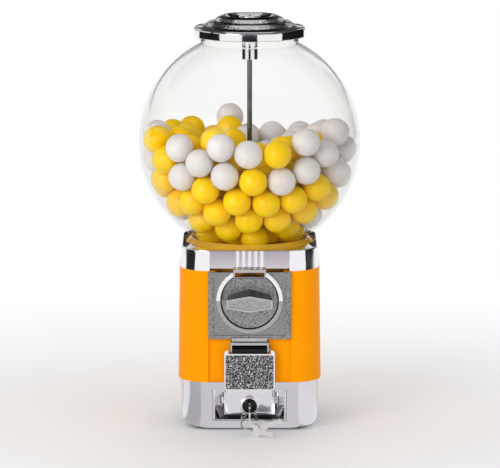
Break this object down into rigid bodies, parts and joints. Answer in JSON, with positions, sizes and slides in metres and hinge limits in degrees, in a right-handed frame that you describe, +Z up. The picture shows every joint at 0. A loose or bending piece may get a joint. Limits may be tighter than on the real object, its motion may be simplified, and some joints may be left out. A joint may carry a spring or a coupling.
{
  "type": "gumball machine",
  "caption": "Coin-operated gumball machine: clear globe on a chromed collar, orange body with coin knob and chute door, base with a locked coin drawer.",
  "frame": {"origin": "on the floor under the middle of the machine, at the bottom of the rubber feet", "axes": "+Z up, the coin mechanism faces -Y, +X to the right as seen from the front"},
  "size_m": [0.222, 0.222, 0.4118],
  "materials": {
    "clear_acrylic": "clear, polished",
    "lid_chrome": "bright chrome, two hammered bands",
    "seal": "matt",
    "collar_chrome": "bright chrome",
    "orange_paint": "gloss paint",
    "zinc": "die-cast, satin",
    "door_chrome": "chrome, hammered field on the door",
    "satin_chrome": "satin chrome",
    "steel": "plain steel",
    "brass": "plain brass",
    "lock_chrome": "bright",
    "key_nickel": "nickel plate",
    "wheel_plastic": "moulded",
    "yellow_gum": "sugar shell",
    "white_gum": "sugar shell"
  },
  "bodies": {
    "machine": {"ball_chute": "wheel_plastic", "base_shell": "satin_chrome", "body_shell": "orange_paint", "centre_rod": "steel", "coin_face_plate": "zinc", "coin_guide": "wheel_plastic", "coin_slot_block": "zinc", "collar": "collar_chrome", "door_hinge_bracket": "door_chrome", "door_hinge_pin": "door_chrome", "drawer_runners": "steel", "flange_screws": "steel", "floor_plate": "steel", "globe_gasket": "seal", "globe_lower": "clear_acrylic", "globe_neck": "clear_acrylic", "globe_upper": "clear_acrylic", "gumballs_white": "white_gum", "gumballs_yellow": "yellow_gum", "hopper": "wheel_plastic", "mech_back_plate": "steel", "mech_posts": "steel", "outlet_cover": "wheel_plastic", "ratchet_spring": "steel", "rod_nuts": "steel", "rod_washers": "steel", "rubber_feet": "seal", "wheel_bush": "brass"},
    "coin_drive": {"knob": "zinc", "spindle": "steel", "coin_wheel": "brass", "ratchet_wheel": "steel", "drive_pinion": "brass", "spindle_clip": "steel"},
    "wheel": {"ball_wheel": "wheel_plastic", "crown_gear": "wheel_plastic", "pocket_gumballs": "white_gum"},
    "door": {"chute_door": "door_chrome"},
    "lid_unit": {"lid": "lid_chrome", "lid_gasket": "seal", "lid_lock_barrel": "lid_chrome", "lid_lock_nut": "lid_chrome"},
    "lid_plug": {"lid_lock_plug": "lid_chrome"},
    "drawer": {"coin_drawer_front": "satin_chrome", "coin_drawer_tray": "steel", "lock_body": "lock_chrome", "lock_nut": "steel"},
    "lock": {"lock_plug": "brass", "lock_cam": "steel", "drawer_key": "key_nickel"},
    "key_bunch": {"key_ring": "steel", "spare_keys": "key_nickel"}
  },
  "joints": [
    {"name": "knob_turn", "type": "hinge", "parent": "machine", "child": "coin_drive", "pos_m": [0, -0.07, 0.1344], "axis": [0, 1, 0], "continuous": true, "deforming": ["ratchet_spring"]},
    {"name": "wheel_turn", "type": "hinge", "parent": "machine", "child": "wheel", "pos_m": [0, 0, 0.16], "axis": [0, 0, 1], "continuous": true},
    {"name": "door_swing", "type": "hinge", "parent": "machine", "child": "door", "pos_m": [0, -0.0755, 0.0855], "axis": [-1, 0, 0], "range_deg": [0, 75]},
    {"name": "lid_lift", "type": "slide", "parent": "machine", "child": "lid_unit", "axis": [0, 0, 1], "range_m": [0, 0.06]},
    {"name": "lid_lock_turn", "type": "hinge", "parent": "lid_unit", "child": "lid_plug", "pos_m": [0, 0, 0.4], "axis": [0, 0, 1], "range_deg": [0, 90]},
    {"name": "drawer_slide", "type": "slide", "parent": "machine", "child": "drawer", "axis": [0, -1, 0], "range_m": [0, 0.05]},
    {"name": "lock_turn", "type": "hinge", "parent": "drawer", "child": "lock", "pos_m": [0, -0.056, 0.0245], "axis": [0, -1, 0], "range_deg": [0, 90]},
    {"name": "keys_swing", "type": "hinge", "parent": "lock", "child": "key_bunch", "pos_m": [0, -0.0795, 0.0155], "axis": [-1, 0, 0], "range_deg": [0, 25]}
  ],
  "couplings": [
    {"joint": "wheel_turn", "follows": "knob_turn", "ratio": 0.16667}
  ]
}
